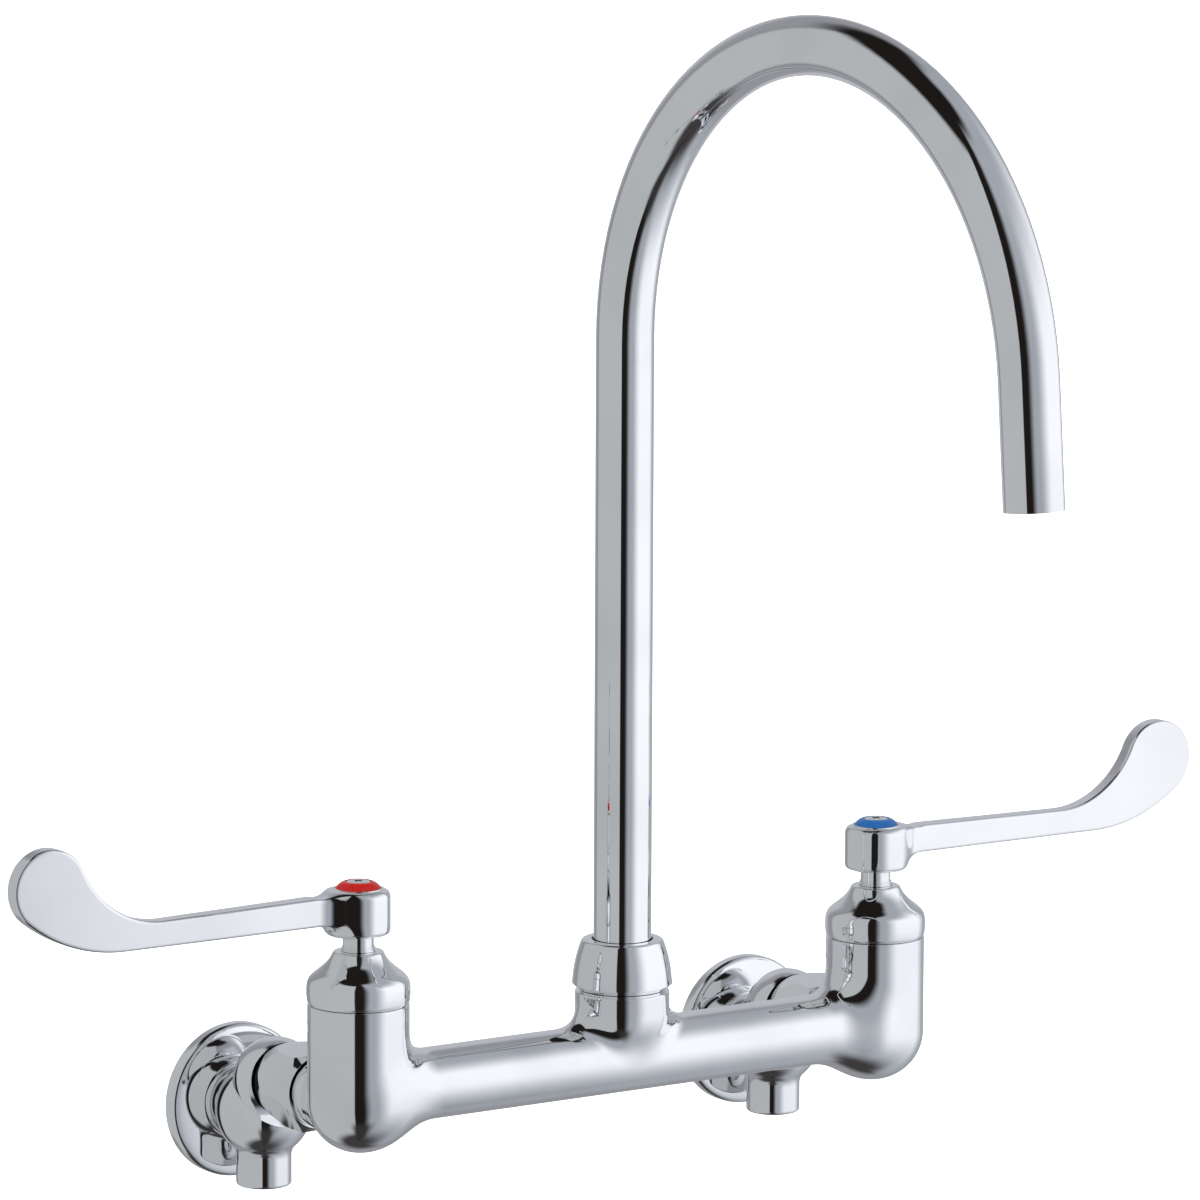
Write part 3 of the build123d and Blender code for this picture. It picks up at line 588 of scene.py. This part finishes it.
# body casting: barrels, bridge and hub run into each other with the large blends of a cast body
body = {
    "bridgeHeight": 16.7, "bridgeRadius": 11.7, "bridgeShort": 9.0,
    "barrelRadius": 16.5, "barrelRound": 13.8, "barrelTop": 46.0, "barrelEdge": 0.3,
    "hubRadius": 15.6, "hubRound": 32.0, "hubTop": 39.0, "hubEdge": 0.5,
    "blendAbove": 10.0, "blendBelow": 12.5, "blendFrom": 22.7, "blendLength": 16.0,
    "hubBlend": 10.5, "hubFrontBlend": 5.0,
    "grain": 0.6, "spare": 4.0, "endless": 40.0, "cutHalf": 40.0, "drawnOver": 1.5,
    "spigot": (14.4, 52.0), "valveBore": (11.6, 20.0), "seat": (6.0, 17.0), "chamber": (8.0, 3.0),
    "hubSpigot": (14.0, 48.0), "hubBore": (11.7, 26.4), "throat": (8.0, 16.7),
    "waterway": 6.5, "waterwayReach": 91.6,
    # the inlet bosses, turned about an axis that runs back from the barrel's, with a collar in the middle
    "bossHeight": 12.7, "boss": [
        (10.5, 0), (10.5, 17.0), (11.5, 17.3), (11.8, 17.8), (11.8, 21.4), (11.5, 22.0), (10.5, 22.2),
        (10.5, 28.6), (10.1, 29.0)],
    "inletBore": 4.5, "inletFrom": -49.0, "inletTo": -72.4,
}


def bodyDepth(points):
    b = body
    x, y, z = points.T
    end = halfCentres - b["bridgeShort"]
    left, right = (-end, -valveOut, b["bridgeHeight"]), (end, -valveOut, b["bridgeHeight"])
    bridge = barDepth(points, left, right, b["bridgeRadius"])
    low, high = (0, -valveOut, b["hubRound"]), (0, -valveOut, b["hubTop"] + b["endless"])
    hub = barDepth(points, low, high, b["hubRadius"])
    below = rise(-z, -b["blendFrom"], b["blendLength"])
    reach = b["blendAbove"] + (b["blendBelow"] - b["blendAbove"]) * below
    front = rise(np.abs(y + valveOut), 0, b["bridgeRadius"])
    whole = runTogether(bridge, hub, b["hubBlend"] + (b["hubFrontBlend"] - b["hubBlend"]) * front)
    for side in (-halfCentres, halfCentres):
        low, high = (side, -valveOut, b["barrelRound"]), (side, -valveOut, b["barrelTop"] + b["endless"])
        whole = runTogether(whole, barDepth(points, low, high, b["barrelRadius"]), reach)
    return whole


# the rounded rim and the top face, up to the spigot and down into the bore
def rimOutline(radius, height, rim, *inner):
    outline = rounding((radius, height - rim), (radius - rim, height), (radius - rim, height - rim))
    outline.append((inner[0][0], height))
    for here, after in zip(inner, inner[1:]):
        outline += [here, (after[0], here[1])]
    return outline + [inner[-1]]


def roughBody():
    b = body
    c, y = halfCentres, -valveOut
    rough = [addBar((-c, y, b["bridgeHeight"]), (c, y, b["bridgeHeight"]), b["bridgeRadius"])]
    for x, low, top, radius in (
        (0, b["hubRound"], b["hubTop"], b["hubRadius"]),
        (-c, b["barrelRound"], b["barrelTop"], b["barrelRadius"]),
        (c, b["barrelRound"], b["barrelTop"], b["barrelRadius"]),
    ):
        rough.append(addBar((x, y, low), (x, y, top + b["spare"]), radius))
        rough.append(addBall((x, y, low), radius))
    return joinPieces(rough, "bodySkin")


def makeBody():
    b = body
    y = -valveOut
    skin = roughBody()
    wrapInSkin(skin, b["grain"])
    points = readPoints(skin)
    top = np.where(np.abs(points[:, 0]) < halfCentres / 2, b["hubTop"], b["barrelTop"]) + b["drawnOver"]
    drawOnto(skin, bodyDepth, points[:, 2] < top)
    barrelInner = (b["spigot"], b["valveBore"], b["seat"], b["chamber"])
    hubInner = (b["hubSpigot"], b["hubBore"], b["throat"])
    for x, radius, height, rim, inner in (
        (-halfCentres, b["barrelRadius"], b["barrelTop"], b["barrelEdge"], barrelInner),
        (halfCentres, b["barrelRadius"], b["barrelTop"], b["barrelEdge"], barrelInner),
        (0, b["hubRadius"], b["hubTop"], b["hubEdge"], hubInner),
    ):
        cutOff(skin, lambda p: abs(p.x - x) < b["cutHalf"], height - rim)
        turnIn(skin, (x, y), rimOutline(radius, height, rim, *inner))
    selectOnly(skin)
    bpy.ops.object.mode_set(mode="EDIT")
    bpy.ops.mesh.select_all(action="SELECT")
    bpy.ops.mesh.normals_make_consistent(inside=False)
    bpy.ops.object.mode_set(mode="OBJECT")
    z = b["bossHeight"]
    for x in (-halfCentres, halfCentres):
        carve(skin, addTurned("boss", (x, y, z), (0, 1, 0), b["boss"]), "UNION")
        carve(skin, addBar((x, b["inletFrom"], z), (x, b["inletTo"], z), b["inletBore"], 48), "DIFFERENCE")
    reach = b["waterwayReach"]
    waterway = addBar((-reach, y, b["bridgeHeight"]), (reach, y, b["bridgeHeight"]), b["waterway"], 64)
    carve(skin, waterway, "DIFFERENCE")
    smoothBy(skin, 30)
    return dress(skin, "castChrome", "faucet_body", ["body_casting"])


print("body casting", len(makeBody().data.polygons), "faces")


# wrist-blade handles: the arm flares into the hub and its top sweeps up to the index ring
blade = {
    "hubRadius": 10.4, "hubLow": 68.9, "hubTop": 83.9, "footRound": 1.6, "rimRound": 0.7,
    "rootHalf": 3.69, "rootThinning": 0.0069,
    "armLow": (73.2, 0.00113), "armTop": (82.7, -0.01215), "armRound": 0.9,
    "flare": 7.0, "armSide": (0.1, 0.7), "crownRound": 1.4, "crownFall": 1.5, "crownFallAt": (7.9, 7.0),
    "armRise": 5, "armRiseAt": (15, 10), "rimFall": 3.2, "rimFallAt": (7.6, 6.0),
    "backFlat": 9.3, "backRound": 0.8,
    "recess": 7.75, "rootTo": 34.0, "grain": 0.32,
}


# depth in a box or a cylinder with rounded corners, from how far out a point is in two directions
def cornerDepth(across, tall, corner):
    across, tall = across + corner, tall + corner
    outside = np.hypot(np.maximum(across, 0), np.maximum(tall, 0))
    return outside + np.minimum(np.maximum(across, tall), 0) - corner


# s runs along the blade from the hub's axis, w across it and z upwards
def bladeDepth(points):
    b = blade
    s, w, z = points.T
    r = np.hypot(s, w)
    middle, half = (b["hubTop"] + b["hubLow"]) / 2, (b["hubTop"] - b["hubLow"]) / 2
    corner = np.where(z > middle, b["rimRound"], b["footRound"])
    hub = cornerDepth(r - b["hubRadius"], np.abs(z - middle) - half, corner)
    low, top = (start + slope * s for start, slope in (b["armLow"], b["armTop"]))
    armHalf = b["rootHalf"] - b["rootThinning"] * s
    arm = cornerDepth(np.abs(w) - armHalf, np.abs(z - (low + top) / 2) - (top - low) / 2, b["armRound"])
    whole = runTogether(hub, np.maximum(arm, -s), b["flare"])
    # the hub's top slopes down from the ring, gently towards the arm and more steeply elsewhere
    towardsArm = rise(s / np.maximum(r, 0.1), *b["armSide"])
    armFall = b["crownFall"] * rise(r, *b["crownFallAt"]) - b["armRise"] * rise(r, *b["armRiseAt"])
    rimFall = b["rimFall"] * rise(r, *b["rimFallAt"])
    crown = z - b["hubTop"] + armFall * towardsArm + rimFall * (1 - towardsArm)
    whole = -runTogether(-whole, -crown, b["crownRound"])
    return -runTogether(-whole, b["backFlat"] + s, b["backRound"])


def makeHandle(water):
    b = blade
    handle = bpy.data.objects.new(water + "Handle", nodes[water + "_handle"].data.copy())
    scene.collection.objects.link(handle)
    selectOnly(handle)
    bpy.ops.object.mode_set(mode="EDIT")
    bpy.ops.mesh.select_all(action="SELECT")
    bpy.ops.mesh.remove_doubles(threshold=0.002 * mm)
    bpy.ops.object.mode_set(mode="OBJECT")
    wrapInSkin(handle, b["grain"])
    turn = math.radians(waters[water]["bladeAngle"])
    along = np.array([math.cos(turn), math.sin(turn), 0])
    bladeAxes = np.array([along, [along[1], -along[0], 0], [0, 0, 1]])
    place = np.array([waters[water]["place"], -valveOut, 0])

    def inBlade(points):
        return (points - place) @ bladeAxes.T

    s, w, z = inBlade(readPoints(handle)).T
    root = (s < b["rootTo"]) & (np.hypot(s, w) > b["recess"])
    drawOnto(handle, lambda points: bladeDepth(inBlade(points)), root)
    smoothBy(handle, 35)
    return dress(handle, "polishedChrome", water + "_handle", [water + "_handle"])


for water in waters:
    piece = makeHandle(water)
    print(piece.name, len(piece.data.polygons), "faces")


# index rings, domed, each with the screw that holds the handle in its middle
index = {
    "seat": 81.4, "rim": 83.75, "outer": 7.42, "inner": 4.15, "lip": 83.95, "lipIn": 0.1, "crest": 86.0,
    "crestOut": 0.25, "crestEdge": 0.2, "bulge": 0.45, "steps": 12,
    "bezel": [(7.42, 83.0), (7.42, 83.88), (7.48, 83.94), (7.75, 83.94), (7.86, 83.88), (7.9, 83.75), (7.9, 83.0)],
}
screw = {
    "radius": 3.95, "edge": 85.75, "shank": (2.0, 72.4), "round": (3.2, 0.25), "roundSteps": 8,
    "middle": [(2.0, 86.10), (0.9, 86.15)], "cross": (3.3, 0.95), "crossDepth": 1.3, "crossTurn": 20,
}


# a turned solid that stands upright on a valve's axis
def addUpright(water, name, outline, sides=96):
    return addTurned(water + name, (waters[water]["place"], -valveOut, 0), (0, 0, 1), outline, sides)


def makeIndexRing(water, finish):
    i = index
    outline = [(i["inner"], i["seat"]), (i["outer"], i["seat"]), (i["outer"], i["rim"])]
    for k in range(i["steps"] + 1):
        share = k / i["steps"]
        radius = i["outer"] - i["lipIn"] + (i["inner"] + i["crestOut"] - i["outer"] + i["lipIn"]) * share
        height = i["lip"] + (i["crest"] - i["lip"]) * share + i["bulge"] * math.sin(math.pi * share)
        outline.append((radius, height))
    outline += [(i["inner"], i["crest"] - i["crestEdge"]), outline[0]]
    ring = addUpright(water, "IndexRing", outline)
    smoothBy(ring, 35)
    dress(ring, finish, water + "_handle", [water + "_index_ring"])
    bezel = addUpright(water, "Bezel", i["bezel"] + i["bezel"][:1])
    smoothBy(bezel, 35)
    dress(bezel, "polishedChrome", water + "_handle", [])


def makeHandleScrew(water):
    s = screw
    shank, low = s["shank"]
    outline = [(shank, low), (shank, index["seat"]), (s["radius"], index["seat"]), (s["radius"], s["edge"])]
    flat, rounded = s["round"]
    for k in range(1, s["roundSteps"] + 1):
        a = math.pi / 2 * k / s["roundSteps"]
        outline.append((flat + (s["radius"] - flat) * math.cos(a), s["edge"] + rounded * math.sin(a)))
    top = s["middle"][-1][1]
    piece = addUpright(water, "HandleScrew", outline + s["middle"], 64)
    turn = math.radians(waters[water]["bladeAngle"] + s["crossTurn"])
    for length, width in (s["cross"], s["cross"][::-1]):
        deselectAll()
        bpy.ops.mesh.primitive_cube_add(size=1, location=(0, 0, 0))
        bpy.ops.transform.resize(value=(length * mm, width * mm, 2 * s["crossDepth"] * mm))
        bpy.ops.object.transform_apply(location=True, rotation=True, scale=True)
        bit = bpy.context.object
        bit.rotation_euler = (0, 0, turn)
        bit.location = (waters[water]["place"] * mm, -valveOut * mm, top * mm)
        bpy.ops.object.transform_apply(location=True, rotation=True, scale=True)
        carve(piece, bit, "DIFFERENCE")
    smoothBy(piece, 30)
    dress(piece, "screwChrome", water + "_handle", [water + "_handle_screw"])


for water, finish, slot in (("hot", "redEnamel", "red_plastic"), ("cold", "blueEnamel", "blue_plastic")):
    makeIndexRing(water, finish)
    makeHandleScrew(water)
print("index rings and screws")


# bonnets: bells with a full belly, a straight cone and a small collar, and the necks' foot rings
bell = {
    "bore": 14.45, "foot": 46.0, "outline": [
        (15.5, 46.0), (15.9, 46.15), (16.3, 46.5), (16.55, 47.1), (16.7, 48.1), (16.8, 49.4), (16.8, 50.8),
        (16.75, 52.0), (16.55, 53.2), (16.15, 54.2), (15.4, 55.2), (14.3, 56.2), (13.0, 57.2), (11.8, 58.2),
        (10.7, 59.2), (9.8, 60.2), (9.1, 61.2), (8.6, 62.1), (8.3, 62.75), (8.0, 63.15), (7.5, 63.35), (7.0, 63.4)],
    "hole": [(5.55, 63.4), (5.55, 60.0), (14.45, 55.0)],
    "neck": [(4.8, 63.4), (5.45, 63.4), (5.55, 63.5), (5.55, 63.95), (5.45, 64.05), (5.05, 64.1), (5.05, 64.25),
             (5.3, 64.3), (5.4, 64.4), (5.4, 64.75), (5.3, 64.85), (5.0, 64.9), (5.0, 68.6), (4.9, 68.7), (4.8, 68.7)],
}


# a smooth curve through the points of an outline
def smoothOutline(points, steps=4):
    points = [np.array(p, float) for p in points]
    ends = [2 * points[0] - points[1]] + points + [2 * points[-1] - points[-2]]
    smooth = []
    for a, b, c, d in zip(ends, ends[1:], ends[2:], ends[3:]):
        for k in range(steps):
            t = k / steps
            bend, twist = 2 * a - 5 * b + 4 * c - d, 3 * b - a - 3 * c + d
            smooth.append(tuple(0.5 * (2 * b + (c - a) * t + bend * t * t + twist * t ** 3)))
    return smooth + [tuple(points[-1])]


def makeBonnet(water):
    b = bell
    foot = [(b["bore"], b["foot"])]
    bonnet = addUpright(water, "Bonnet", foot + smoothOutline(b["outline"]) + b["hole"] + foot, 128)
    smoothBy(bonnet, 35)
    dress(bonnet, "polishedChrome", "faucet_body", [water + "_bonnet"])
    neck = addUpright(water, "Neck", b["neck"] + b["neck"][:1])
    smoothBy(neck, 30)
    dress(neck, "polishedChrome", "faucet_body", [])


for water in waters:
    makeBonnet(water)
print("bonnets")


# wall flanges: pressed plates with a rolled edge and a shallow dome
flange = {
    "outline": [
        (25.7, 0.0), (25.7, 2.7), (25.6, 3.3), (25.3, 3.9), (24.8, 4.35), (24.1, 4.65), (22.8, 4.9), (20.8, 5.15),
        (18.8, 5.35), (16.8, 5.5), (15.0, 5.6), (13.7, 5.63), (12.9, 5.5), (12.5, 5.2), (12.5, 4.8)],
    "inside": [(13.6, 4.5), (18.8, 4.2), (23.6, 3.4), (24.5, 2.5), (24.5, 0.0)],
}


def makeFlange(water):
    outline = smoothOutline(flange["outline"]) + flange["inside"] + flange["outline"][:1]
    plate = addTurned(water + "WallFlange", (waters[water]["place"], 0, 0), (0, -1, 0), outline, 128)
    smoothBy(plate, 35)
    dress(plate, "polishedChrome", "faucet_body", [water + "_wall_flange"])


for water in waters:
    makeFlange(water)
print("wall flanges")
